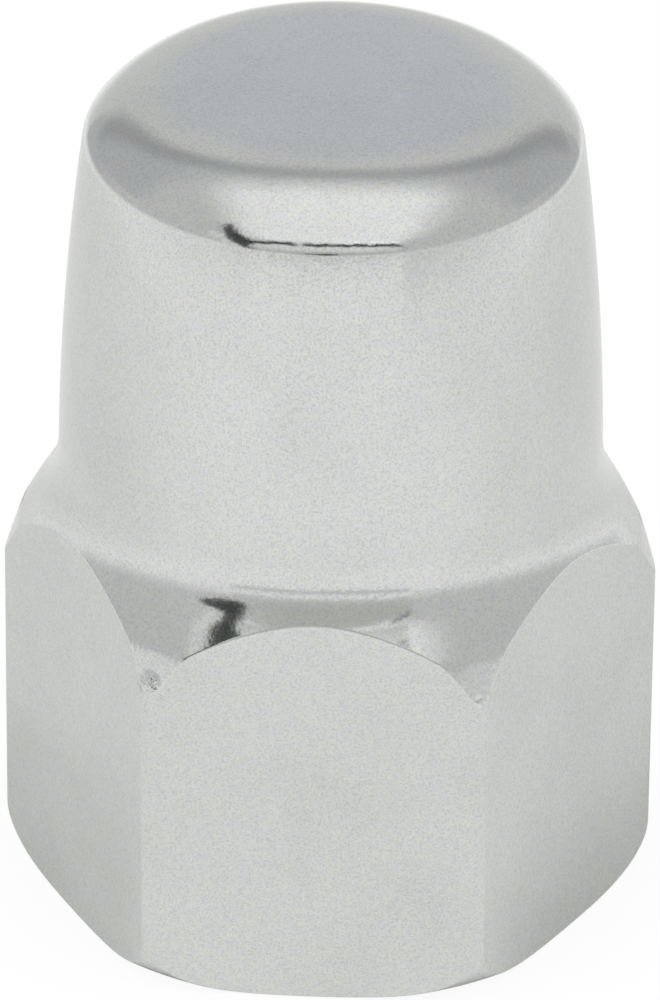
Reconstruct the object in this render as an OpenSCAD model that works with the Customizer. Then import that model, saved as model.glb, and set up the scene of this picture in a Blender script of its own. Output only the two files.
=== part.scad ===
// Cap nut: a hexagon nut with a tall round cap over a blind threaded bore.
// Millimetres. The bearing face lies on z = 0 and the cap points along +z.

/* [Hexagon] */
// Wrench size, measured across two opposite flats
across_flats = 15; // [13:0.5:22]
// How far each hexagon corner is turned back from its sharp point
corner_clip = 0.08; // [0.04:0.02:0.4]
// Radius that rounds the lower outer edge
base_round = 1.3; // [0.6:0.1:1.5]

/* [Shoulder] */
// Height at which the cap wall and the shoulder would meet without their fillet
neck_height = 11.7; // [9:0.05:14]
// How far the foot of the cap stands inside the flats
neck_inset = 0.38; // [0.2:0.01:0.7]
// Slope of the shoulder, in degrees below level
shoulder_slope = 56; // [50:1:65]
// How far inside the turned corners the shoulder breaks into a steeper slope
crease_inset = 0.41; // [0.3:0.01:0.6]
// Slope of the corners outside the crease, in degrees below level
corner_slope = 71; // [67:1:80]
// Radius of the hollow curve between the cap wall and the shoulder
foot_fillet = 3.4; // [0.5:0.1:4.5]

/* [Cap] */
// Height of the whole nut
total_height = 23.3; // [21:0.1:28]
// Lean of the cap wall at its foot, in degrees from upright
foot_lean = 0.2; // [0:0.1:2]
// Radius of the long curve that the cap wall follows
wall_curve = 75; // [60:1:200]
// Radius of the tight lip where the cap wall turns in
lip_round = 1; // [0.3:0.1:1.8]
// How far the lip turns from upright before the broad curve to the crown, in degrees
lip_tilt = 39; // [25:1:55]
// Radius of the broad curve between the lip and the crown
crown_round = 3.7; // [2.5:0.1:4.5]
// Radius of the slightly domed crown
crown_curve = 60; // [30:1:120]

/* [Thread] */
// Nominal thread diameter
thread_diameter = 10; // [8:0.5:10.5]
// Thread pitch
thread_pitch = 1; // [0.75:0.05:1.5]
// Depth of the full bore from the bearing face
bore_depth = 16; // [9:0.5:16.5]
// Point angle that the drill leaves at the end of the bore, in degrees
drill_angle = 118; // [90:2:135]
// How much wider than the thread the countersunk mouth is
mouth_relief = 0.4; // [0.1:0.1:0.8]

/* [Hidden] */
$fn = 180;
hexagon_sides = 6;
// Twice the depth of a metric thread for each millimetre of pitch
thread_depth_share = 1.0825;
// How far a rounding's circle runs past the lines it joins, so that they cross cleanly
overlap = 0.001;
// How far a cutting or hidden shape runs past what it cuts or lies in
reach = 1;
// How far, in degrees, the crown's rounding is cut past the lip
lap_angle = 5;

// Hexagon
flat_r = across_flats / 2;
sharp_r = flat_r / cos(180 / hexagon_sides);
corner_r = sharp_r - corner_clip;

// Shoulder
neck_r = flat_r - neck_inset;
crease_r = corner_r - crease_inset;
crease_z = neck_height - (crease_r - neck_r) * tan(shoulder_slope);
corner_z = crease_z - crease_inset * tan(corner_slope);
uphill = [-cos(shoulder_slope), sin(shoulder_slope)];
shoulder_normal = [sin(shoulder_slope), cos(shoulder_slope)];

// Bore
bore_r = (thread_diameter - thread_depth_share * thread_pitch) / 2;
mouth_r = (thread_diameter + mouth_relief) / 2;
mouth_depth = mouth_r - bore_r;
drill_depth = bore_r / tan(drill_angle / 2);

// Centres of the circles in the half outline, as [radius, height]
base_centre = [corner_r - base_round + overlap, base_round - overlap];
wall_centre = [neck_r, neck_height] - wall_curve * [cos(foot_lean), sin(foot_lean)];
crown_centre = [0, total_height - crown_curve];
lip_way = [cos(lip_tilt), sin(lip_tilt)];
lip_step = (crown_round - lip_round + overlap) * lip_way;
round_centre = circles_meet(
    wall_centre - lip_step, wall_curve - lip_round + overlap,
    crown_centre, crown_curve - crown_round + overlap
);
lip_centre = round_centre + lip_step;
fillet_centre = beside_wall_and_shoulder(foot_fillet - overlap);

// Unit vector that points the way v does
function unit(v) = v / norm(v);

// Upper point where a circle on the left crosses a circle on the right
function circles_meet(left, left_r, right, right_r) =
    let(gap = norm(right - left))
    let(along = (gap * gap + left_r * left_r - right_r * right_r) / (2 * gap))
    let(aside = sqrt(left_r * left_r - along * along))
    let(ahead = unit(right - left))
    left + along * ahead + aside * [-ahead[1], ahead[0]];

// Point that stands r off the cap wall and r off the shoulder
function beside_wall_and_shoulder(r) =
    let(start = [neck_r, neck_height] + r * shoulder_normal)
    let(from_centre = start - wall_centre)
    let(b = from_centre * uphill)
    let(c = from_centre * from_centre - pow(wall_curve + r, 2))
    start - (b + sqrt(b * b - c)) * uphill;

// What a rounding of radius r takes off an outside corner between two directions
module corner_cut(centre, r, from, to) {
    far = 3 * max(r, crown_round);
    difference() {
        polygon([centre, centre + far * from, centre + far * (from + to), centre + far * to]);
        translate(centre) circle(r = r);
    }
}

// Half outline up to the foot of the cap
module lower_outline() {
    top = [neck_r, neck_height] + reach * uphill;
    difference() {
        polygon([
            [0, 0],
            [corner_r, 0],
            [corner_r, corner_z],
            [crease_r, crease_z],
            top,
            [0, top[1]]
        ]);
        corner_cut(base_centre, base_round, [0, -1], [1, 0]);
    }
}

// Half outline of the cap: a long curved wall, a tight lip, a broad curve and a domed crown
module cap_outline() {
    difference() {
        intersection() {
            translate(wall_centre) circle(r = wall_curve);
            translate(crown_centre) circle(r = crown_curve);
            translate([0, neck_height - reach])
                square([neck_r + reach, total_height - neck_height + 2 * reach]);
        }
        corner_cut(
            lip_centre, lip_round,
            unit(lip_centre - wall_centre),
            lip_way
        );
        corner_cut(
            round_centre, crown_round,
            [cos(lip_tilt - lap_angle), sin(lip_tilt - lap_angle)],
            unit(round_centre - crown_centre)
        );
    }
}

// What the fillet adds in the corner between the cap wall and the shoulder
module foot_fill() {
    toward_wall = unit(wall_centre - fillet_centre);
    inside = reach / 2;
    far = foot_fillet + inside;
    difference() {
        polygon([
            fillet_centre,
            fillet_centre + far * toward_wall,
            [neck_r, neck_height] + inside * (toward_wall - shoulder_normal),
            fillet_centre - far * shoulder_normal
        ]);
        translate(fillet_centre) circle(r = foot_fillet);
    }
}

// Blind bore with a countersunk mouth and the drill's point at its end
module bore() {
    translate([0, 0, -reach]) cylinder(r = bore_r, h = bore_depth + reach);
    translate([0, 0, bore_depth]) cylinder(r1 = bore_r, r2 = 0, h = drill_depth);
    translate([0, 0, -reach])
        cylinder(r1 = mouth_r + reach, r2 = bore_r, h = mouth_depth + reach);
}

// The nut: the turned outline, cut to a hexagon and bored from below
module cap_nut() {
    color([0.78, 0.79, 0.8])
        difference() {
            intersection() {
                rotate_extrude() {
                    lower_outline();
                    cap_outline();
                    foot_fill();
                }
                cylinder(r = sharp_r, h = total_height + reach, $fn = hexagon_sides);
            }
            bore();
        }
}

cap_nut();
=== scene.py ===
import math

import bmesh
import bpy
import numpy as np
from bpy.props import FloatProperty, FloatVectorProperty, PointerProperty
from mathutils import Matrix, Vector


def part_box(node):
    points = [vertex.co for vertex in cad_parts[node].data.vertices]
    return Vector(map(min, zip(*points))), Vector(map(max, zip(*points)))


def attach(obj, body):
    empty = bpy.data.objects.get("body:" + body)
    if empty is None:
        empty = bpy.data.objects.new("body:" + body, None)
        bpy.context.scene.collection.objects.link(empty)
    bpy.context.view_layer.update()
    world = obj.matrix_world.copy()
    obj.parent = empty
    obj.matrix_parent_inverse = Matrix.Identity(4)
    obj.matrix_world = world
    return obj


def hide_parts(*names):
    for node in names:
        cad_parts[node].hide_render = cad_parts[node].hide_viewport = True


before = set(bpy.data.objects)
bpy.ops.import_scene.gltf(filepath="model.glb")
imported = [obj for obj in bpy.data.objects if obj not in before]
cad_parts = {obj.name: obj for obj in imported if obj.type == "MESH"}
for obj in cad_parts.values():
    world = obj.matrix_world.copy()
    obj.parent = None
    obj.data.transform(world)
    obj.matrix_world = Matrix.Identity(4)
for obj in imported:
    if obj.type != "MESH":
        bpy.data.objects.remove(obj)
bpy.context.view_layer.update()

bl_info = {
    "name": "Chrome cap nut",
    "version": (1, 0, 0),
    "blender": (4, 5, 0),
    "location": "3D View > Sidebar > Cap nut",
    "description": "Builds a chromed hexagon cap nut with its thread, and the studio round it",
    "category": "Object",
}

NUT_LOW, NUT_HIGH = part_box("cap_nut")
HEXAGON_SIDES = 6
HALF_SIDE = math.pi / HEXAGON_SIDES
MM = 0.001

# How finely the mesh is divided
ARC_STEPS = 200
CROWN_ROWS, ROUND_ROWS, LIP_ROWS, WALL_ROWS = 18, 22, 14, 16
SHOULDER_ROWS, SIDE_ROWS, BASE_ROWS = 56, 12, 16
CREASE_ROWS, EDGE_ROWS = 12, 7
CORNER_COLUMNS, FLAT_COLUMNS = 6, 15

# Both flanks of a metric thread together, as a share of its pitch
THREAD_CUT = 1.0825


# Sizes and colours that a user would change

def length(name, description, default):
    return FloatProperty(name=name, description=description, default=default,
                         min=0, precision=5, subtype="DISTANCE", unit="LENGTH")


def angle(name, description, degrees):
    return FloatProperty(name=name, description=description, default=math.radians(degrees),
                         subtype="ANGLE", unit="ROTATION")


def tone(name, description, default):
    return FloatVectorProperty(name=name, description=description, default=default,
                               min=0, soft_max=1, size=3, subtype="COLOR")


def share(name, description, default):
    return FloatProperty(name=name, description=description, default=default,
                         min=0, max=1, subtype="FACTOR")


class NutSizes(bpy.types.PropertyGroup):
    across_flats: length("Across flats", "Width over two opposite flats", NUT_HIGH.y - NUT_LOW.y)
    across_corners: length("Across corners", "Width over two opposite rounded corners",
                           NUT_HIGH.x - NUT_LOW.x)
    total_height: length("Total height", "Bearing face to the top of the crown",
                         NUT_HIGH.z - NUT_LOW.z)
    base_round: length("Base rounding", "Radius turned on the lower ends of the corners", 1.3 * MM)
    neck_height: length("Neck height", "Where wall and shoulder would meet without their fillet",
                        11.7 * MM)
    neck_inset: length("Neck inset", "How far the neck stands back from the flats", 0.38 * MM)
    shoulder_slope: angle("Shoulder slope", "Slope of the shoulder above the flats", 56)
    crease_inset: length("Crease inset", "Crease in the shoulder to the corners, across", 0.41 * MM)
    corner_slope: angle("Corner slope", "Slope of the cone that cuts the corners", 71)
    foot_fillet: length("Foot fillet", "Hollow curve between wall and shoulder", 3.4 * MM)
    foot_lean: angle("Foot lean", "Lean of the cap wall at the neck", 0.2)
    wall_curve: length("Wall curve", "Radius of the slight barrel of the cap wall", 75 * MM)
    lip_round: length("Lip rounding", "Tight radius at the top of the cap wall", 1 * MM)
    lip_tilt: angle("Lip tilt", "Direction in which the lip ends and the crown rounding starts", 39)
    crown_round: length("Crown rounding", "Broad radius between lip and crown", 3.7 * MM)
    crown_curve: length("Crown curve", "Radius of the crown", 60 * MM)
    edge_reach: length("Edge softness", "How far from an edge its rounding starts", 0.07 * MM)
    crease_reach: length("Crease softness", "How far from the crease its rounding starts", 0.12 * MM)
    thread_diameter: length("Thread diameter", "Nominal size of the thread", 10 * MM)
    thread_pitch: length("Thread pitch", "Height of one turn of the thread", 1 * MM)
    bore_depth: length("Bore depth", "Depth of the bore up to the drill point", 16 * MM)
    thread_end: length("Thread length", "Height at which the full thread ends", 14 * MM)
    drill_angle: angle("Drill point", "Full angle of the drill point", 118)
    mouth_relief: length("Mouth relief", "How much wider than the thread its mouth is", 0.4 * MM)


class ChromeFinish(bpy.types.PropertyGroup):
    plate: tone("Plate", "Colour of the plating", (0.73, 0.738, 0.712))
    plate_cool: tone("Plate, cool grains", "Colour of the bluer grains", (0.70, 0.714, 0.729))
    plate_dull: tone("Plate, dull grains", "Colour of the duller grains", (0.515, 0.525, 0.51))
    bore_metal: tone("Bore metal", "Colour of the thinly plated thread", (0.42, 0.41, 0.39))
    gloss_low: share("Roughness, bright", "Roughness of the brightest spots", 0.10)
    gloss_high: share("Roughness, dull", "Roughness of the dullest spots", 0.19)
    grain: length("Grain", "Size of the fine grain under the plating", 0.08 * MM)
    grain_depth: length("Grain depth", "Height of the fine grain", 0.0008 * MM)
    mottle: length("Mottle", "Size of the small dents under the plating", 0.24 * MM)
    mottle_depth: length("Mottle depth", "Height of the small dents", 0.0024 * MM)
    swell: length("Swell", "Size of the slow waves left by forming", 2.2 * MM)
    swell_depth: length("Swell depth", "Height of the slow waves", 0.002 * MM)
    pucker: length("Pucker", "Reach of the wrinkled plating by the left valley", 0.5 * MM)
    pucker_depth: length("Pucker depth", "Height of those wrinkles", 0.09 * MM)
    dimple: length("Dimple", "Reach of the tiny dimple in the right valley", 0.12 * MM)
    dimple_depth: length("Dimple depth", "Depth of that dimple", 0.03 * MM)


class StudioLook(bpy.types.PropertyGroup):
    floor_tone: tone("Floor", "Colour of the floor", (0.86, 0.86, 0.83))
    floor_seen: share("Floor lift", "How much of the near floor the camera sees as plain white", 0.92)
    floor_mirrored: share("Mirrored lift", "How much of the near floor metal mirrors as white", 0.35)
    left_lamp: FloatProperty(name="Left lamp", description="Power of the left soft lamp in watts",
                             default=0.37, min=0)
    right_lamp: FloatProperty(name="Right lamp", description="Power of the right soft lamp in watts",
                              default=0.31, min=0)
    roof_light: tone("Roof light", "Brightness of the soft light over the nut", (1.04, 1.05, 1.04))
    wall_low: tone("Low walls", "Brightness of the front and side walls", (0.65, 0.66, 0.65))
    wall_foot: tone("Foot of the walls", "Brightness of the side walls' foot", (0.94, 0.95, 0.94))
    wall_high: tone("High walls", "Brightness of the upper walls at the back", (0.55, 0.56, 0.57))
    back_foot: tone("Foot of the back", "Brightness of the back wall's foot", (0.98, 0.99, 0.98))
    back_panel: tone("Back panel", "Brightness of the panel behind the nut", (0.69, 0.695, 0.68))
    back_cool: tone("Back panel, middle", "Brightness of its bluer middle", (0.635, 0.65, 0.68))
    panel_seam: tone("Panel seam", "Brightness of the line round the panel", (0.42, 0.43, 0.435))
    opening: tone("Opening", "Brightness of the room in the opening", (0.55, 0.56, 0.53))
    opening_foot: tone("Opening, foot", "Brightness of that room's foot", (0.66, 0.67, 0.65))
    opening_left: tone("Opening, left", "Brightness of that room's left", (0.62, 0.63, 0.60))
    opening_top: tone("Opening, top", "Brightness of that room's top", (0.86, 0.87, 0.85))
    hem: tone("Hem", "Brightness of the dark hem of the opening", (0.02, 0.025, 0.023))
    # The hem's specks are painted light: brighter glowing specks in the dark hem, mirrored by the
    # metal.
    hem_glow_specks: tone("Hem, worn", "Brightness of the light specks in the hem", (0.20, 0.225, 0.215))
    hem_light: tone("Beside the hem", "Brightness of the cloth beside the hem", (0.80, 0.81, 0.79))
    glint: tone("Glints", "Brightness of the lit threads over the hem", (1.6, 1.62, 1.6))
    view_azimuth: angle("View azimuth", "Turn of the camera from the front flat to the right", 2.77)
    view_elevation: angle("View elevation", "Height of the camera over the horizon", 29.3)
    view_roll: angle("View roll", "Lean of the nut to the right in the picture", 0.544)
    view_distance: length("View distance", "Camera to the middle of the nut", 243.1 * MM)
    view_lift: length("View lift", "How far the camera is moved up for the framing", 0.61 * MM)
    view_aim: length("View aim", "Height that the camera turns about", 10 * MM)
    lens: FloatProperty(name="Lens", description="Focal length in millimetres on a 36 mm frame",
                        default=333.0, min=1)


# The outline of the nut, in a half plane of radius and height. A path is an array
# with a row for each point: radius, height, and the direction in which it goes on.

def arc(centre, radius, start, end, steps=ARC_STEPS):
    angles = np.linspace(start, end, steps)
    turn = 1 if end > start else -1
    return np.column_stack([centre[0] + radius * np.cos(angles), centre[1] + radius * np.sin(angles),
                            -turn * np.sin(angles), turn * np.cos(angles)])


def line(start, end):
    start, end = np.array(start, float), np.array(end, float)
    heading = (end - start) / np.linalg.norm(end - start)
    return np.array([[*start, *heading], [*end, *heading]])


def distances(path):
    return np.concatenate([[0], np.cumsum(np.linalg.norm(np.diff(path[:, :2], axis=0), axis=1))])


def cut(path, first, last):
    """The part of a path between two distances along it."""
    along = distances(path)
    inside = path[(along > first + 1e-12) & (along < last - 1e-12)]
    ends = [[np.interp(at, along, column) for column in path.T] for at in (first, last)]
    return np.vstack([ends[0], inside, ends[1]])


def spread(path, rows):
    """A path with its points spread evenly."""
    along = distances(path)
    places = np.linspace(0, 1, rows) * along[-1]
    return np.column_stack([np.interp(places, along, column) for column in path.T])


def soft_corner(before, after, reach, rows):
    """Both paths shortened by reach at the corner they share, and the bend that joins them."""
    before = cut(before, 0, distances(before)[-1] - reach)
    corner = after[0, :2]
    after = cut(after, reach, distances(after)[-1])
    t = np.linspace(0, 1, rows)[:, None]
    start, end = before[-1, :2], after[0, :2]
    places = (1 - t) ** 2 * start + 2 * t * (1 - t) * corner + t ** 2 * end
    headings = (1 - t) * (corner - start) + t * (end - corner)
    return before, np.hstack([places, headings / reach]), after


def heading_of(start, end):
    return math.atan2(end[1] - start[1], end[0] - start[0])


def circle_crossing(left, left_r, right, right_r):
    """The upper point where two circles meet."""
    gap = right - left
    far = np.linalg.norm(gap)
    ahead = gap / far
    aside = np.array([-ahead[1], ahead[0]])
    along = (far ** 2 + left_r ** 2 - right_r ** 2) / (2 * far)
    across = math.sqrt(left_r ** 2 - along ** 2)
    return max((left + along * ahead + side * across * aside for side in (1, -1)),
               key=lambda place: place[1])


class Outline:
    """Everything that the columns of the nut's mesh have in common."""

    def __init__(self, sizes):
        self.sizes = sizes
        self.flat_r = sizes.across_flats / 2
        self.corner_r = sizes.across_corners / 2
        sharp_r = self.flat_r / math.cos(HALF_SIDE)
        self.corner_round = (sharp_r - self.corner_r) / (1 / math.cos(HALF_SIDE) - 1)
        self.corner_centre_r = (self.flat_r - self.corner_round) / math.cos(HALF_SIDE)
        self.corner_turn = math.atan2(self.corner_round * math.sin(HALF_SIDE),
                                      self.corner_centre_r + self.corner_round * math.cos(HALF_SIDE))
        self.base_centre = (self.corner_r - sizes.base_round, sizes.base_round)
        neck = np.array([self.flat_r - sizes.neck_inset, sizes.neck_height])
        lean = np.array([math.cos(sizes.foot_lean), math.sin(sizes.foot_lean)])
        wall_centre = neck - sizes.wall_curve * lean
        crown_centre = np.array([0, sizes.total_height - sizes.crown_curve])
        lip_step = ((sizes.crown_round - sizes.lip_round)
                    * np.array([math.cos(sizes.lip_tilt), math.sin(sizes.lip_tilt)]))
        round_centre = circle_crossing(wall_centre - lip_step, sizes.wall_curve - sizes.lip_round,
                                       crown_centre, sizes.crown_curve - sizes.crown_round)
        lip_centre = round_centre + lip_step
        downhill = np.array([math.cos(sizes.shoulder_slope), -math.sin(sizes.shoulder_slope)])
        outward = np.array([math.sin(sizes.shoulder_slope), math.cos(sizes.shoulder_slope)])
        fillet_centre = self.fillet_centre(wall_centre, neck, downhill, outward)
        crease_r = self.corner_r - sizes.crease_inset
        crease = neck + downhill * (crease_r - neck[0]) / downhill[0]
        corner_end = np.array([self.corner_r,
                               crease[1] - sizes.crease_inset * math.tan(sizes.corner_slope)])
        crown_turn = heading_of(crown_centre, round_centre)
        lip_turn = heading_of(wall_centre, lip_centre)
        foot_turn = heading_of(wall_centre, fillet_centre)
        self.cap = [
            spread(arc(crown_centre, sizes.crown_curve, math.pi / 2, crown_turn), CROWN_ROWS),
            spread(arc(round_centre, sizes.crown_round, crown_turn, sizes.lip_tilt), ROUND_ROWS),
            spread(arc(lip_centre, sizes.lip_round, sizes.lip_tilt, lip_turn), LIP_ROWS),
            spread(arc(wall_centre, sizes.wall_curve, lip_turn, foot_turn), WALL_ROWS),
        ]
        fillet = arc(fillet_centre, sizes.foot_fillet, foot_turn + math.pi,
                     math.pi * 1.5 - sizes.shoulder_slope, steps=160)
        shoulder = line(fillet[-1, :2], crease)
        cone = line(crease, corner_end)
        shoulder, bend, cone = soft_corner(shoulder, cone, sizes.crease_reach, CREASE_ROWS)
        self.shoulder = np.vstack([fillet[:-1], shoulder[:-1], bend[:-1], cone])
        self.valley_height = corner_end[1]

    def valley(self, side):
        """Where the upper ends of two flats meet at a corner of the front flat, -1 or 1 by side."""
        return Vector((side * self.corner_r * math.sin(HALF_SIDE),
                       -self.corner_r * math.cos(HALF_SIDE), self.valley_height))

    def fillet_centre(self, wall_centre, neck, downhill, outward):
        """Where a circle sits that touches the cap wall and the shoulder from outside."""
        fillet = self.sizes.foot_fillet
        on_line = neck + outward * fillet
        to_wall = on_line - wall_centre
        half = np.dot(to_wall, downhill)
        left = np.dot(to_wall, to_wall) - (self.sizes.wall_curve + fillet) ** 2
        return on_line + downhill * (-half + math.sqrt(half ** 2 - left))

    def hexagon_limit(self, turn):
        """Radius of the hexagon with rounded corners at an angle round the axis."""
        from_corner = abs((turn + HALF_SIDE) % (2 * HALF_SIDE) - HALF_SIDE)
        if from_corner < self.corner_turn:
            sideways = self.corner_centre_r * math.sin(from_corner)
            return (self.corner_centre_r * math.cos(from_corner)
                    + math.sqrt(self.corner_round ** 2 - sideways ** 2))
        return self.flat_r / math.cos(HALF_SIDE - from_corner)

    def column(self, turn):
        """The path down the skin at an angle round the axis, from the wall to the bearing face."""
        limit = min(self.hexagon_limit(turn), self.corner_r)
        along = distances(self.shoulder)
        reached = np.interp(limit, self.shoulder[:, 0], along)
        shoulder = cut(self.shoulder, 0, reached)
        base_turn = math.acos(min((limit - self.base_centre[0]) / self.sizes.base_round, 1))
        base = arc(self.base_centre, self.sizes.base_round, -base_turn, -math.pi / 2, steps=60)
        side = line(shoulder[-1, :2], base[0, :2])
        reach = self.sizes.edge_reach
        shoulder, upper_bend, side = soft_corner(shoulder, side, reach, EDGE_ROWS)
        side, lower_bend, base = soft_corner(side, base, reach, EDGE_ROWS)
        return np.vstack([spread(shoulder, SHOULDER_ROWS)[:-1], upper_bend[:-1],
                          spread(side, SIDE_ROWS)[:-1], lower_bend[:-1], spread(base, BASE_ROWS)])


def column_turns(outline):
    """Angles of the mesh's columns, close together where the corners are round."""
    tangent = outline.corner_turn
    corner = np.linspace(0, tangent, CORNER_COLUMNS)
    shares = np.linspace(0, 1, FLAT_COLUMNS)[1:]
    evenness = 0.45
    flat = tangent + (HALF_SIDE - tangent) * (evenness * shares + (1 - evenness) * shares ** 2)
    half = np.concatenate([corner, flat])
    sector = np.concatenate([half, 2 * HALF_SIDE - half[-2:0:-1]])
    return np.concatenate([side * 2 * HALF_SIDE + sector for side in range(HEXAGON_SIDES)])


def spun(path, turn):
    """A path's points in space at an angle round the axis."""
    return np.column_stack([path[:, 0] * math.cos(turn), path[:, 0] * math.sin(turn), path[:, 1]])


class SkinMesh:
    """Collects the vertices, normals and faces of one closed mesh."""

    def __init__(self):
        self.places, self.normals, self.faces, self.finishes = [], [], [], []

    def ring(self, places, normals=None):
        first = len(self.places)
        self.places.extend(tuple(place) for place in places)
        if normals is None:
            normals = np.zeros_like(places)
        self.normals.extend(tuple(normal) for normal in normals)
        return list(range(first, len(self.places)))

    def face(self, corners, finish):
        unlike = [corner for at, corner in enumerate(corners) if corner != corners[at - 1]]
        if len(unlike) > 2:
            self.faces.append(unlike)
            self.finishes.append(finish)

    def band(self, upper, lower, finish=0):
        for at in range(len(upper)):
            after = (at + 1) % len(upper)
            self.face([upper[at], lower[at], lower[after], upper[after]], finish)

    def fan(self, ring, tip, finish=0):
        for at in range(len(ring)):
            self.face([ring[at], ring[(at + 1) % len(ring)], tip], finish)

    def finish_object(self, name, materials):
        mesh = bpy.data.meshes.new(name)
        mesh.from_pydata(self.places, [], self.faces)
        for material in materials:
            mesh.materials.append(material)
        mesh.polygons.foreach_set("material_index", self.finishes)
        shaped = bmesh.new()
        shaped.from_mesh(mesh)
        bmesh.ops.recalc_face_normals(shaped, faces=shaped.faces)
        open_edges = [edge for edge in shaped.edges if not edge.is_manifold]
        if open_edges:
            raise RuntimeError(f"{name} has {len(open_edges)} open edges")
        shaped.to_mesh(mesh)
        shaped.free()
        mesh.polygons.foreach_set("use_smooth", [True] * len(mesh.polygons))
        mesh.normals_split_custom_set_from_vertices(self.normals)
        piece = bpy.data.objects.new(name, mesh)
        bpy.context.scene.collection.objects.link(piece)
        return piece


def add_skin(mesh, outline, turns):
    """The outside of the nut from the crown's middle to the bearing face. Returns the last ring."""
    cap = np.vstack([part[:-1] for part in outline.cap])[1:]
    nudge = 1e-4
    columns = []
    for turn in turns:
        here, before, after = (np.vstack([cap, outline.column(turn + step)])
                               for step in (0, -nudge, nudge))
        places = spun(here, turn)
        sideways = spun(after, turn + nudge) - spun(before, turn - nudge)
        downward = np.column_stack([here[:, 2] * math.cos(turn), here[:, 2] * math.sin(turn),
                                    here[:, 3]])
        normals = np.cross(downward, sideways)
        normals /= np.linalg.norm(normals, axis=1)[:, None]
        columns.append((places, normals))
    places = np.array([column[0] for column in columns]).transpose(1, 0, 2)
    normals = np.array([column[1] for column in columns]).transpose(1, 0, 2)
    rings = [mesh.ring(*ring) for ring in zip(places, normals)]
    tip = mesh.ring([(0, 0, outline.sizes.total_height)], np.array([(0, 0, 1.0)]))[0]
    mesh.fan(rings[0], tip)
    for upper, lower in zip(rings, rings[1:]):
        mesh.band(upper, lower)
    return rings[-1]


def thread_rows(sizes):
    """Height within one turn and cut of the thread there, from 0 at the bore to 1 at its depth."""
    crest, flank, root = 0.25, 0.3125, 0.125
    soft = 0.03
    marks = [(0, 0), (crest - soft, 0), (crest, 0.02), (crest + soft, 0.12),
             (crest + flank - soft, 0.88), (crest + flank, 0.98),
             (crest + flank + root - soft, 1), (crest + flank + root, 0.98),
             (crest + flank + root + soft, 0.88), (1 - soft, 0.12)]
    return [(share_of_turn * sizes.thread_pitch, depth) for share_of_turn, depth in marks]


def add_bore(mesh, outline, turns, edge_ring):
    """The bearing face, the mouth, the thread and the drill point."""
    sizes = outline.sizes
    bore_r = (sizes.thread_diameter - THREAD_CUT * sizes.thread_pitch) / 2
    root_r = sizes.thread_diameter / 2
    mouth_r = root_r + sizes.mouth_relief / 2
    mouth_depth = mouth_r - bore_r
    face = line((outline.base_centre[0], 0), (mouth_r, 0))
    sink = line((mouth_r, 0), (bore_r, mouth_depth))
    face, bend, sink = soft_corner(face, sink, sizes.edge_reach, 5)
    mouth_ring = edge_ring
    for at in np.vstack([spread(face, 5)[1:-1], bend]):
        lower = mesh.ring([(at[0] * math.cos(turn), at[0] * math.sin(turn), at[1]) for turn in turns])
        mesh.band(mouth_ring, lower)
        mouth_ring = lower
    low, high = bend[-1, 1], sizes.bore_depth
    rows = thread_rows(sizes)
    turn_count = math.ceil(high / sizes.thread_pitch) + 2
    steps = [(at + turn_no * sizes.thread_pitch - sizes.thread_pitch, depth)
             for turn_no in range(turn_count) for at, depth in rows]
    top_ring = mesh.ring([(bore_r * math.cos(turn), bore_r * math.sin(turn), high) for turn in turns])
    fade = 1.5 * sizes.thread_pitch

    def vertex(column, height, depth):
        if height <= low + 1e-6:
            return mouth_ring[column]
        if height >= high - 1e-6:
            return top_ring[column]
        kept = min(max((sizes.thread_end + fade - height) / fade, 0), 1)
        radius = max(bore_r + (root_r - bore_r) * depth * kept, mouth_r - height)
        turn = turns[column]
        return mesh.ring([(radius * math.cos(turn), radius * math.sin(turn), height)])[0]

    grid = []
    for column, turn in enumerate(turns):
        lift = sizes.thread_pitch * turn / (2 * math.pi)
        grid.append([vertex(column, height + lift, depth) for height, depth in steps])
    grid.append(grid[0][len(rows):] + [top_ring[0]] * len(rows))
    for left, right in zip(grid, grid[1:]):
        for at in range(len(steps) - 1):
            mesh.face([left[at], left[at + 1], right[at + 1], right[at]], 1)
    drill_height = bore_r / math.tan(sizes.drill_angle / 2)
    upper = top_ring
    drill_rings = (0.96, 0.7, 0.4, 0.15)
    for out in drill_rings:
        radius = bore_r * out
        height = high + drill_height * (1 - out)
        lower = mesh.ring([(radius * math.cos(turn), radius * math.sin(turn), height)
                           for turn in turns])
        mesh.band(upper, lower, 1)
        upper = lower
    tip = mesh.ring([(0, 0, high + drill_height)])[0]
    mesh.fan(upper, tip, 1)


# Finishes

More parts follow.
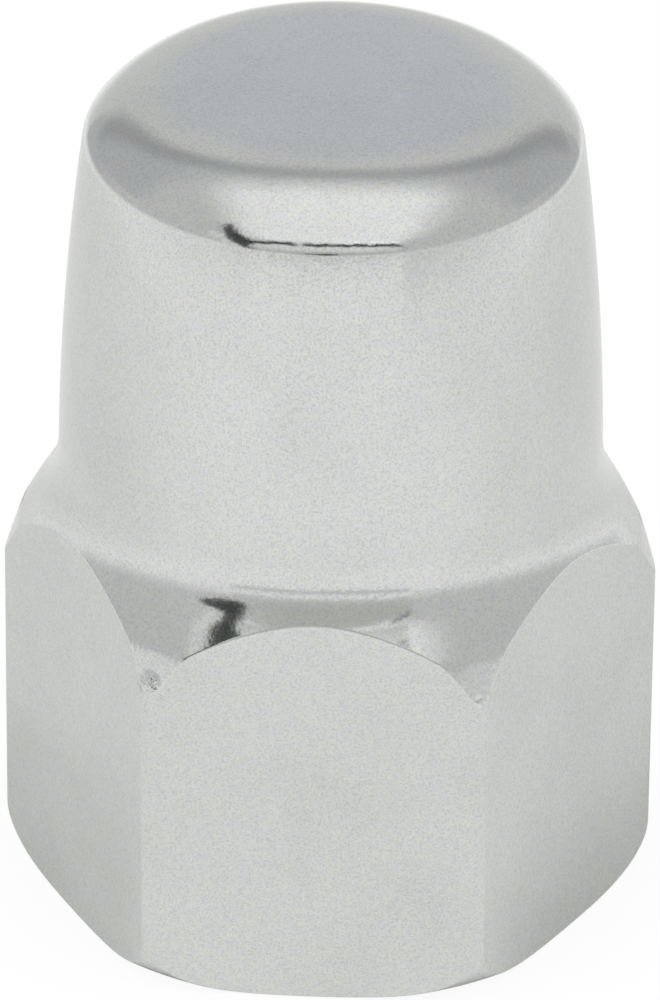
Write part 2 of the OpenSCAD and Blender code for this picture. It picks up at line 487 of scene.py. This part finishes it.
class Nodes:
    """Adds nodes to one material or world and links them."""

    def __init__(self, owner):
        owner.use_nodes = True
        self.tree = owner.node_tree
        self.tree.nodes.clear()

    def add(self, kind, settings=None, **inputs):
        node = self.tree.nodes.new(kind)
        for name, value in (settings or {}).items():
            setattr(node, name, value)
        for name, value in inputs.items():
            key = int(name[1:]) if name[1:].isdigit() else name.replace("_", " ")
            socket = node.inputs[key]
            if isinstance(value, bpy.types.NodeSocket):
                self.tree.links.new(value, socket)
            else:
                socket.default_value = value
        return node

    def math(self, operation, first, second=0.0):
        return self.add("ShaderNodeMath", {"operation": operation}, _0=first, _1=second).outputs[0]

    def vector(self, operation, first, second=(0.0, 0.0, 0.0)):
        node = self.add("ShaderNodeVectorMath", {"operation": operation}, _0=first, _1=second)
        return node.outputs["Value" if operation == "LENGTH" else "Vector"]

    def noise(self, place, size, detail=2.0, roughness=0.5):
        return self.add("ShaderNodeTexNoise", None, Vector=place, Scale=1 / size, Detail=detail,
                        Roughness=roughness).outputs["Fac"]

    def ramp(self, value, low, high, start=0.0, end=1.0):
        """A smooth step from start to end while the value goes from low to high."""
        return self.add("ShaderNodeMapRange", {"interpolation_type": "SMOOTHSTEP"}, Value=value,
                        From_Min=low, From_Max=high, To_Min=start, To_Max=end).outputs[0]

    def blend(self, amount, first, second):
        node = self.add("ShaderNodeMix", {"data_type": "RGBA"}, Factor=amount)
        for name, value in (("A_Color", first), ("B_Color", second)):
            socket = next(one for one in node.inputs if one.identifier == name)
            if isinstance(value, bpy.types.NodeSocket):
                self.tree.links.new(value, socket)
            else:
                socket.default_value = (*value, 1)
        return next(one for one in node.outputs if one.identifier == "Result_Color")

    def near(self, place, middle, reach):
        """1 at a place, falling to 0 where its reach ends."""
        away = self.vector("LENGTH", self.vector("SUBTRACT", place, tuple(middle)))
        return self.ramp(away, 0, reach, 1, 0)

    def seen(self):
        """1 for what is seen directly, mirrored or through glass."""
        path = self.add("ShaderNodeLightPath").outputs
        mirrored = self.math("MAXIMUM", path["Is Camera Ray"], path["Is Glossy Ray"])
        return self.math("MAXIMUM", mirrored, path["Is Transmission Ray"])


def plated_metal(name, finish, bright, cool, dull, low, high, wrinkles, dimple, grain_share=1):
    """Plating over fine grain: dull and bluer grains, slow waves, and patches of less gloss.

    Roughness goes from low on bright grains to high on dull ones. Two tones mix for the bright
    grains. Wrinkles and dimple are the places of those marks.
    """
    material = bpy.data.materials.new(name)
    nodes = Nodes(material)
    place = nodes.add("ShaderNodeTexCoord").outputs["Object"]
    grain = nodes.noise(place, finish.grain, 3, 0.6)
    swell = nodes.noise(place, finish.swell, 2, 0.45)
    patches = nodes.noise(place, finish.swell * 1.7, 4, 0.6)
    specks = nodes.ramp(nodes.noise(place, finish.grain * 0.8, 2, 0.7), 0.4, 0.75)
    dullness = nodes.math("ADD", nodes.math("MULTIPLY", specks, 0.68),
                          nodes.ramp(patches, 0.35, 0.75, 0, 0.2))
    blueness = nodes.ramp(nodes.noise(place, finish.grain * 2.2, 2, 0.6), 0.4, 0.6)
    mottle = nodes.noise(place, finish.mottle, 2, 0.5)
    slow = nodes.add("ShaderNodeBump", None, Strength=1, Distance=finish.swell_depth, Height=swell)
    dents = nodes.add("ShaderNodeBump", None, Strength=1, Distance=finish.mottle_depth,
                      Height=mottle, Normal=slow.outputs[0])
    folds = nodes.math("MULTIPLY", nodes.noise(place, finish.pucker * 0.5, 3, 0.6),
                       nodes.near(place, wrinkles, finish.pucker))
    puckered = nodes.add("ShaderNodeBump", None, Strength=1, Distance=finish.pucker_depth,
                         Height=folds, Normal=dents.outputs[0])
    dimpled = nodes.add("ShaderNodeBump", {"invert": True}, Strength=1, Distance=finish.dimple_depth,
                        Height=nodes.near(place, dimple, finish.dimple), Normal=puckered.outputs[0])
    fine = nodes.add("ShaderNodeBump", None, Strength=1, Distance=finish.grain_depth * grain_share,
                     Height=grain, Normal=dimpled.outputs[0])
    shader = nodes.add("ShaderNodeBsdfPrincipled", None, Metallic=1.0,
                       Base_Color=nodes.blend(dullness, nodes.blend(blueness, bright, cool), dull),
                       Roughness=nodes.ramp(dullness, 0, 1, low, high),
                       Normal=fine.outputs[0])
    nodes.add("ShaderNodeOutputMaterial", None, Surface=shader.outputs[0])
    return material


# The studio

def stage_piece(name, places, faces, material, camera_sees):
    mesh = bpy.data.meshes.new(name)
    mesh.from_pydata(places, [], faces)
    mesh.materials.append(material)
    piece = bpy.data.objects.new(name, mesh)
    bpy.context.scene.collection.objects.link(piece)
    if not camera_sees:
        piece.visible_camera = False
        piece.visible_diffuse = False
        piece.visible_shadow = False
    return piece


def floor_material(look):
    """A pale floor with the nut's cast shadow, and a painted shadow round the nut for what the metal
    mirrors; plain white further out and clear from below.
    """
    material = bpy.data.materials.new("studio_floor")
    nodes = Nodes(material)
    place = nodes.add("ShaderNodeTexCoord").outputs["Object"]
    cloth = nodes.noise(place, 0.4 * MM, 3, 0.6)
    darker = [c * 0.985 for c in look.floor_tone]
    shade = nodes.blend(nodes.ramp(cloth, 0.3, 0.7), look.floor_tone, darker)
    diffuse = nodes.add("ShaderNodeBsdfDiffuse", None, Color=shade)
    glow = nodes.add("ShaderNodeEmission", None, Color=(1, 1, 1, 1), Strength=1)
    path = nodes.add("ShaderNodeLightPath").outputs
    away = nodes.vector("LENGTH", place)
    behind = nodes.add("ShaderNodeSeparateXYZ", None,
                       Vector=nodes.vector("NORMALIZE", place)).outputs["Y"]
    far_mirrored = 0.78
    in_front = nodes.ramp(behind, -0.9, -0.2, 1, 0)
    far_out = nodes.math("MULTIPLY", in_front, nodes.ramp(away, 20 * MM, 42 * MM))
    far_out = nodes.math("MAXIMUM", far_out, nodes.ramp(away, 42 * MM, 70 * MM, 0, 0.85))
    # Painted shadow for what the metal mirrors: less white lift behind the nut and none inside this
    # ellipse round it, so the mirrored floor is darker there.
    shadow_middle, shadow_reach = (-0.8 * MM, 3 * MM, 0), (1 / (12 * MM), 1 / (9.7 * MM), 0)
    shadow = nodes.vector("LENGTH", nodes.vector(
        "MULTIPLY", nodes.vector("SUBTRACT", place, shadow_middle), shadow_reach))
    seen = nodes.math("MULTIPLY", path["Is Camera Ray"],
                      nodes.ramp(away, 6 * MM, 13 * MM, look.floor_seen, 1))
    mirrored = nodes.math("MAXIMUM", path["Is Glossy Ray"], path["Is Transmission Ray"])
    near_lift = nodes.math("MULTIPLY", nodes.ramp(behind, -0.6, 0.5, 1, 0.45), look.floor_mirrored)
    far_lift = nodes.math("MULTIPLY", far_out, far_mirrored - look.floor_mirrored)
    lift = nodes.math("ADD", near_lift, far_lift)
    mirrored = nodes.math("MULTIPLY", mirrored, lift)
    mirrored = nodes.math("MULTIPLY", mirrored, nodes.ramp(shadow, 0.92, 1.25))
    mixed = nodes.add("ShaderNodeMixShader", None, _0=nodes.math("MAXIMUM", seen, mirrored),
                      _1=diffuse.outputs[0], _2=glow.outputs[0])
    clear = nodes.add("ShaderNodeBsdfTransparent")
    back_side = nodes.add("ShaderNodeNewGeometry").outputs["Backfacing"]
    from_below = nodes.math("MULTIPLY", path["Is Camera Ray"], back_side)
    mixed = nodes.add("ShaderNodeMixShader", None, _0=from_below, _1=mixed.outputs[0],
                      _2=clear.outputs[0])
    nodes.add("ShaderNodeOutputMaterial", None, Surface=mixed.outputs[0])
    return material


def outside_panel(nodes, sight, middle, half, corner):
    """How many degrees a direction lies outside a panel with round corners, less than 0 inside."""
    off = nodes.vector("ABSOLUTE", nodes.vector("SUBTRACT", sight, (*middle, 0)))
    past = nodes.vector("SUBTRACT", off, (half[0] - corner, half[1] - corner, 0))
    return nodes.math("SUBTRACT", nodes.vector("LENGTH", nodes.vector("MAXIMUM", past)), corner)


def tent_material(look):
    """Lit cloth: a roof light, a panel with a soft seam behind the nut, and walls round them.

    A direction is told by two angles in degrees: sideways to the right, and over the nut from
    the front, where 90 is straight up and 180 is behind.
    """
    material = bpy.data.materials.new("tent_cloth")
    nodes = Nodes(material)
    place = nodes.add("ShaderNodeTexCoord").outputs["Object"]
    x, y, z = nodes.add("ShaderNodeSeparateXYZ", None,
                        Vector=nodes.vector("NORMALIZE", place)).outputs
    sideways = nodes.math("DEGREES", nodes.math("ARCSINE", x))
    over = nodes.math("DEGREES", nodes.math("ARCTAN2", z, nodes.math("MULTIPLY", y, -1)))
    sight = nodes.add("ShaderNodeCombineXYZ", None, X=sideways, Y=over).outputs[0]
    cool_middle, panel_middle, panel_half, panel_corner = (0, 142, 0), (-1.2, 155), (39.7, 52), 32
    roof_middle, roof_half, roof_corner = (1, 56.5), (37, 36.5), 14
    wall = nodes.blend(nodes.ramp(over, 88, 112), look.wall_low, look.wall_high)
    far_side = nodes.ramp(nodes.math("ABSOLUTE", sideways), 66, 84, 0, 0.35)
    wall = nodes.blend(far_side, wall, look.wall_low)
    from_cool = nodes.vector("LENGTH", nodes.vector("SUBTRACT", sight, cool_middle))
    panel = nodes.blend(nodes.ramp(from_cool, 12, 34), look.back_cool, look.back_panel)
    from_panel = outside_panel(nodes, sight, panel_middle, panel_half, panel_corner)
    wall = nodes.blend(nodes.ramp(from_panel, -4, 4, 1, 0), wall, panel)
    seam = nodes.math("MULTIPLY", nodes.ramp(nodes.math("ABSOLUTE", from_panel), 0.5, 9, 1, 0),
                      nodes.ramp(over, 164, 180, 1, 0))
    seam = nodes.math("MULTIPLY", seam, nodes.ramp(nodes.math("ABSOLUTE", sideways), 12, 34, 0.75, 1))
    wall = nodes.blend(seam, wall, look.panel_seam)
    from_roof = outside_panel(nodes, sight, roof_middle, roof_half, roof_corner)
    wall = nodes.blend(nodes.ramp(z, 0.01, 0.05, 1, 0), wall, look.wall_foot)
    cloth = nodes.blend(nodes.ramp(from_roof, -13, 8, 1, 0), wall, look.roof_light)
    glow = nodes.add("ShaderNodeEmission", None, Color=cloth, Strength=1)
    nodes.add("ShaderNodeOutputMaterial", None, Surface=glow.outputs[0])
    return material


def card_material(name, low_tone, high_tone, low, high, across=None):
    """Lit cloth whose brightness changes with height, and at its top also along another axis."""
    material = bpy.data.materials.new(name)
    nodes = Nodes(material)
    place = nodes.add("ShaderNodeTexCoord").outputs["Object"]
    axes = nodes.add("ShaderNodeSeparateXYZ", None, Vector=place).outputs
    if across:
        axis, start, end, first_tone = across
        high_tone = nodes.blend(nodes.ramp(axes[axis], start, end), first_tone, high_tone)
    colour = nodes.blend(nodes.ramp(axes["Z"], low, high), low_tone, high_tone)
    glow = nodes.add("ShaderNodeEmission", None, Color=colour, Strength=1)
    nodes.add("ShaderNodeOutputMaterial", None, Surface=glow.outputs[0])
    return material


def speckled_glow_material(name, look):
    """The dark hem of the opening, with painted light: brighter glowing specks in it, which the metal
    mirrors as light specks in a dark line.
    """
    material = bpy.data.materials.new(name)
    nodes = Nodes(material)
    place = nodes.add("ShaderNodeTexCoord").outputs["Object"]
    specks = nodes.ramp(nodes.noise(place, 0.6 * MM, 3, 0.7), 0.5, 0.68)
    glow = nodes.add("ShaderNodeEmission", None, Color=nodes.blend(specks, look.hem, look.hem_glow_specks),
                     Strength=1)
    nodes.add("ShaderNodeOutputMaterial", None, Surface=glow.outputs[0])
    return material


def smooth_through(marks, steps):
    """A smooth curve through marks of (place along, value, ...), as evenly spaced rows."""
    marks = np.array(marks, float)
    along = np.linspace(marks[0, 0], marks[-1, 0], steps)
    slopes = np.gradient(marks, marks[:, 0], axis=0)
    rows = []
    for at in along:
        left = min(np.searchsorted(marks[:, 0], at, side="right") - 1, len(marks) - 2)
        gap = marks[left + 1, 0] - marks[left, 0]
        t = (at - marks[left, 0]) / gap
        rows.append((1 + 2 * t) * (1 - t) ** 2 * marks[left] + t * (1 - t) ** 2 * gap * slopes[left]
                    + t * t * (3 - 2 * t) * marks[left + 1] + t * t * (t - 1) * gap * slopes[left + 1])
    return np.array(rows)


def on_curve(radius, turn, height):
    """A place on an upright curve round the nut. The turn is from the front to the right."""
    return (radius * math.sin(turn), -radius * math.cos(turn), height)


def strip(name, near_edge, far_edge, material):
    """A card between two edges that have as many places."""
    places = [place for pair in zip(near_edge, far_edge) for place in pair]
    faces = [[at, at + 2, at + 3, at + 1] for at in range(0, len(places) - 2, 2)]
    return stage_piece(name, places, faces, material, False)


def upright(name, radius, turns, lows, highs, material):
    """A card on an upright curve round the nut, between a lower and an upper row of heights."""
    lows, highs = np.broadcast_to(lows, len(turns)), np.broadcast_to(highs, len(turns))
    strip(name, [on_curve(radius, turn, low) for turn, low in zip(turns, lows)],
          [on_curve(radius, turn, high) for turn, high in zip(turns, highs)], material)


def dome(name, radius, middle, floor_height, material):
    """A round tent over the floor, with what lies below the given height left out."""
    shaped = bmesh.new()
    bmesh.ops.create_uvsphere(shaped, u_segments=96, v_segments=64, radius=radius)
    below = [vert for vert in shaped.verts if vert.co.z + middle.z < floor_height]
    bmesh.ops.delete(shaped, geom=below, context="VERTS")
    mesh = bpy.data.meshes.new(name)
    shaped.to_mesh(mesh)
    shaped.free()
    places = [tuple(vert.co) for vert in mesh.vertices]
    faces = [list(face.vertices) for face in mesh.polygons]
    stage_piece(name, places, faces, material, False).location = middle


# Operators

class CAPNUT_OT_nut(bpy.types.Operator):
    """Build the nut: crown, wall, shoulder, hexagon and threaded bore in one closed skin"""
    bl_idname = "capnut.nut"
    bl_label = "Build the nut"

    def execute(self, context):
        sizes, finish = context.scene.nut_sizes, context.scene.chrome_finish
        outline = Outline(sizes)
        turns = column_turns(outline)
        mesh = SkinMesh()
        edge_ring = add_skin(mesh, outline, turns)
        add_bore(mesh, outline, turns, edge_ring)
        wrinkles = outline.valley(-1) + Vector((-0.05, 0, 0.25)) * MM
        dimple = outline.valley(1) + Vector((-0.05, 0, 0.22)) * MM
        chrome = plated_metal("chrome_plate", finish, finish.plate, finish.plate_cool,
                              finish.plate_dull, finish.gloss_low, finish.gloss_high,
                              wrinkles, dimple)
        bore = plated_metal("thin_plate_in_bore", finish, finish.bore_metal, finish.bore_metal,
                            [c * 0.8 for c in finish.bore_metal], 0.25, 0.4,
                            wrinkles, dimple, grain_share=1.5)
        nut = mesh.finish_object("chrome_cap_nut", [chrome, bore])
        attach(nut, "root")
        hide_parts("cap_nut")
        return {"FINISHED"}


class CAPNUT_OT_studio(bpy.types.Operator):
    """Set up the floor, the tent, the opening in its front, the lamps and the world"""
    bl_idname = "capnut.studio"
    bl_label = "Set up the studio"
    wall_r, side_r, near_r, spot_r = 44 * MM, 26 * MM, 24 * MM, 20 * MM
    tent_r, tent_middle = 260 * MM, Vector((0, -4, 18)) * MM

    def execute(self, context):
        look = context.scene.studio_look
        self.floor(context, look)
        dome("light_tent", self.tent_r, self.tent_middle, 2 * MM, tent_material(look))
        self.low_walls(look)
        self.opening(look)
        self.lamps(context, look)
        self.world(context, look)
        return {"FINISHED"}

    def floor(self, context, look):
        """The floor, open right under the bearing face, so that the nut can be seen from below."""
        sizes = context.scene.nut_sizes
        inner, outer, sides = sizes.across_corners / 2 - sizes.base_round, 3.0, 96
        turns = [2 * math.pi * at / sides for at in range(sides)]
        places = [on_curve(radius, turn, 0) for radius in (inner, outer) for turn in turns]
        faces = [[at, sides + at, sides + (at + 1) % sides, (at + 1) % sides] for at in range(sides)]
        stage_piece("studio_floor", places, faces, floor_material(look), True)

    def low_walls(self, look):
        """The cloth round the nut, open in front and hung a little over the floor."""
        foot, top, step = 7 * MM, 26 * MM, 4
        front = ("Y", 0, 30 * MM, look.wall_low)
        for name, first, last, low_tone, high_tone, low, high, across in (
                ("right_wall", 32, 140, look.wall_foot, look.wall_high, 8.5, 15, front),
                ("back_wall", 140, 220, look.back_foot, look.back_panel, 8, 21, None),
                ("left_wall", 220, 328, look.wall_foot, look.wall_high, 9.5, 17, front)):
            cloth = card_material(name, low_tone, high_tone, low * MM, high * MM, across)
            upright(name, self.wall_r, np.radians(range(first, last + 1, step)), foot, top, cloth)

    def opening(self, look):
        """What the nut mirrors in front: a room through an opening with a dark hem."""
        hem = card_material("hem", look.hem, look.hem, 0, 1)
        # Painted light: the hem material with brighter glowing specks.
        speckled = speckled_glow_material("speckled_hem_glow", look)
        self.near_room(look, hem)
        self.far_room(look, speckled)
        self.side_hem(look, speckled)
        self.spots(hem)
        crease = card_material("far_crease", look.wall_high, look.wall_high, 0, 1)
        half, ahead, low, high = 100 * MM, 112 * MM, 0.2 * MM, 5.5 * MM
        strip("far_crease", [(side * half, -ahead, low) for side in (-1, 1)],
              [(side * half, -ahead, high) for side in (-1, 1)], crease)

    def near_room(self, look, hem):
        """The room as the lip mirrors it, under an arch with a ragged hem and lit threads."""
        room = card_material("near_room", look.opening, look.opening_top, 16.5 * MM, 24.5 * MM)
        arch = smooth_through([(-28.5, 21.2), (-25, 23.5), (-21, 25.0), (-17, 25.6), (-8, 25.8),
                               (0, 26.4), (10, 26.2), (17, 25.6), (24, 24.2), (29, 22.9)], 110)
        foot = smooth_through([(-28.5, 18.6), (-20, 19.5), (-10, 20.6), (10, 20.6), (20, 19.6),
                               (29, 18.6)], 110)
        turns = np.radians(arch[:, 0])
        tops = (arch[:, 1] + 0.4 * np.sin(turns * 37) + 0.3 * np.sin(turns * 71 + 1)) * MM
        hems = tops + (2.9 + 0.7 * np.sin(turns * 53 + 2) + 0.6 * np.sin(turns * 97)) * MM
        threads = hems + (1.2 + 1.1 * np.sin(turns * 61) * np.sin(turns * 23 + 1)) * MM
        upright("near_room", self.near_r, turns, foot[:, 1] * MM, tops, room)
        gap_left, gap_right, lit_from = np.searchsorted(arch[:, 0], (-10.6, -8.6, 4))
        for name, part in (("left_hem", slice(gap_left)), ("right_hem", slice(gap_right, None))):
            upright(name, self.near_r, turns[part], tops[part], hems[part], hem)
        lit = card_material("lit_threads", look.glint, look.glint, 0, 1)
        upright("lit_threads", self.near_r, turns[lit_from:], hems[lit_from:], threads[lit_from:],
                lit)

    def far_room(self, look, speckled):
        """The room as the shoulder mirrors it, with the right end of its hem, speckled with painted
        light.
        """
        foot, hem_width = 12.8 * MM, 1.8
        room = card_material("far_room", look.opening_foot, look.opening, foot, 17 * MM,
                             ("X", -22 * MM, -6 * MM, look.opening_left))
        top = smooth_through([(-33, 21), (-29, 23), (-25, 27), (-18, 31), (-8, 30.8), (0, 31),
                              (10, 29.5), (17, 27.5), (24, 24.5), (29, 21.5), (34, 19.5)], 60)
        upright("far_room", self.wall_r, np.radians(top[:, 0]), foot, top[:, 1] * MM, room)
        end = smooth_through([(25, 25.2), (30.5, 21.5), (34.8, 17.5), (38.1, 15.2)], 60)
        turns = np.radians(end[:, 0])
        edge = end[:, 1] + 0.3 * np.sin(turns * 61) + 0.25 * np.sin(turns * 149)
        upright("far_hem", self.wall_r, turns, edge * MM, (edge + hem_width) * MM, speckled)

    def side_hem(self, look, speckled):
        """The dark, ragged left side of the opening, and the lighter cloth beside it."""
        light = card_material("hem_light", look.hem_light, look.hem_light, 0, 1)
        light_top = 27
        near = [(17.6, -32.5, -27), (18.7, -33, -26.5), (20, -34.5, -27), (21.5, -36.5, -27.2),
                (23.5, -38.5, -27.7), (25, -39, -28.5), (28, -40.5, -31.5), (32, -43, -36.5),
                (36, -44.5, -40), (40, -46, -43.3), (42, -46.5, -45.8)]
        far = [(16.7, -37, -30), (18, -43, -27.3), (20.5, -43.5, -27), (22, -39.5, -27.2),
               (24, -35, -27.5)]
        for name, radius, marks, width in (("side_hem", self.side_r, near, 7),
                                           ("low_hem", self.wall_r, far, 4)):
            height, left, right = smooth_through(marks, 130).T
            left = left + 0.6 * np.sin(height * 8.7) + 0.5 * np.sin(height * 17 + 1)
            right = right + 0.3 * np.sin(height * 7.1 + 2) + 0.25 * np.sin(height * 19)
            right = np.maximum(right, left + 0.2)
            lines = [[on_curve(radius, math.radians(turn), at * MM)
                      for at, turn in zip(height, turns)] for turns in (left - width, left, right)]
            strip(name, lines[1], lines[2], speckled)
            lit = int(np.searchsorted(height, light_top))
            strip(name + "_light", lines[0][:lit], lines[1][:lit], light)

    def spots(self, hem):
        """Two dark spots under the arch, mirrored at the very edge of the lip."""
        height = 19.5
        for name, middle, reach, thick in (("spot", 0.4, 4.5, 0.7), ("small_spot", -6, 1.5, 0.45)):
            across = np.linspace(-1, 1, 13)
            half = thick * np.sqrt(np.maximum(1 - across ** 2, 0.01))
            upright(name, self.spot_r, np.radians(middle + reach * across), (height - half) * MM,
                    (height + half) * MM, hem)

    def lamps(self, context, look):
        """A soft lamp on either side of the camera, for the floor."""
        size, away, high = 150 * MM, 150 * MM, 280 * MM
        for name, turn, power in (("left_lamp", -52, look.left_lamp),
                                  ("right_lamp", 48, look.right_lamp)):
            light = bpy.data.lights.new(name, "AREA")
            light.size = size
            light.energy = power
            lamp = bpy.data.objects.new(name, light)
            lamp.location = on_curve(away, math.radians(turn), high)
            lamp.rotation_euler = lamp.location.to_track_quat("Z", "Y").to_euler()
            lamp.visible_glossy = False
            lamp.visible_camera = False
            context.scene.collection.objects.link(lamp)

    def world(self, context, look):
        world = bpy.data.worlds.new("studio_world")
        context.scene.world = world
        nodes = Nodes(world)
        ambient = nodes.add("ShaderNodeBackground", None, Color=(0.95, 0.97, 1, 1), Strength=0.42)
        white = nodes.add("ShaderNodeBackground", None, Color=(1, 1, 1, 1), Strength=1)
        mixed = nodes.add("ShaderNodeMixShader", None, _0=nodes.seen(), _1=ambient.outputs[0],
                          _2=white.outputs[0])
        nodes.add("ShaderNodeOutputWorld", None, Surface=mixed.outputs[0])


class CAPNUT_OT_camera(bpy.types.Operator):
    """Place the camera as the photograph was taken"""
    bl_idname = "capnut.camera"
    bl_label = "Place the camera"

    def execute(self, context):
        look = context.scene.studio_look
        aim = Vector((0, 0, look.view_aim))
        flat = math.cos(look.view_elevation)
        back = Vector((flat * math.sin(look.view_azimuth), -flat * math.cos(look.view_azimuth),
                       math.sin(look.view_elevation)))
        right = Vector((0, 0, 1)).cross(back).normalized()
        up = back.cross(right)
        right, up = (right * math.cos(look.view_roll) + up * math.sin(look.view_roll),
                     up * math.cos(look.view_roll) - right * math.sin(look.view_roll))
        place = aim + back * look.view_distance + up * look.view_lift
        camera = bpy.data.objects.new("camera", bpy.data.cameras.new("camera"))
        camera.data.lens = look.lens
        camera.data.clip_start = 0.01
        axes = Matrix((right, up, back)).transposed().to_4x4()
        camera.matrix_world = Matrix.Translation(place) @ axes
        context.scene.collection.objects.link(camera)
        context.scene.camera = camera
        context.scene.view_settings.view_transform = "Standard"
        return {"FINISHED"}


class CAPNUT_PT_panel(bpy.types.Panel):
    bl_label = "Cap nut"
    bl_idname = "CAPNUT_PT_panel"
    bl_space_type = "VIEW_3D"
    bl_region_type = "UI"
    bl_category = "Cap nut"

    def draw(self, context):
        for group in (context.scene.nut_sizes, context.scene.chrome_finish, context.scene.studio_look):
            box = self.layout.box()
            for name in group.bl_rna.properties.keys():
                if name not in ("rna_type", "name"):
                    box.prop(group, name)
        for operator in OPERATORS:
            self.layout.operator(operator.bl_idname)


OPERATORS = (CAPNUT_OT_camera, CAPNUT_OT_nut, CAPNUT_OT_studio)
GROUPS = {"nut_sizes": NutSizes, "chrome_finish": ChromeFinish, "studio_look": StudioLook}


def register():
    for group in GROUPS.values():
        bpy.utils.register_class(group)
    for operator in OPERATORS:
        bpy.utils.register_class(operator)
    bpy.utils.register_class(CAPNUT_PT_panel)
    for name, group in GROUPS.items():
        setattr(bpy.types.Scene, name, PointerProperty(type=group))


def unregister():
    for name in GROUPS:
        delattr(bpy.types.Scene, name)
    bpy.utils.unregister_class(CAPNUT_PT_panel)
    for operator in reversed(OPERATORS):
        bpy.utils.unregister_class(operator)
    for group in GROUPS.values():
        bpy.utils.unregister_class(group)


def main():
    register()
    bpy.ops.capnut.camera()
    bpy.ops.capnut.nut()
    bpy.ops.capnut.studio()


if __name__ == "__main__":
    main()
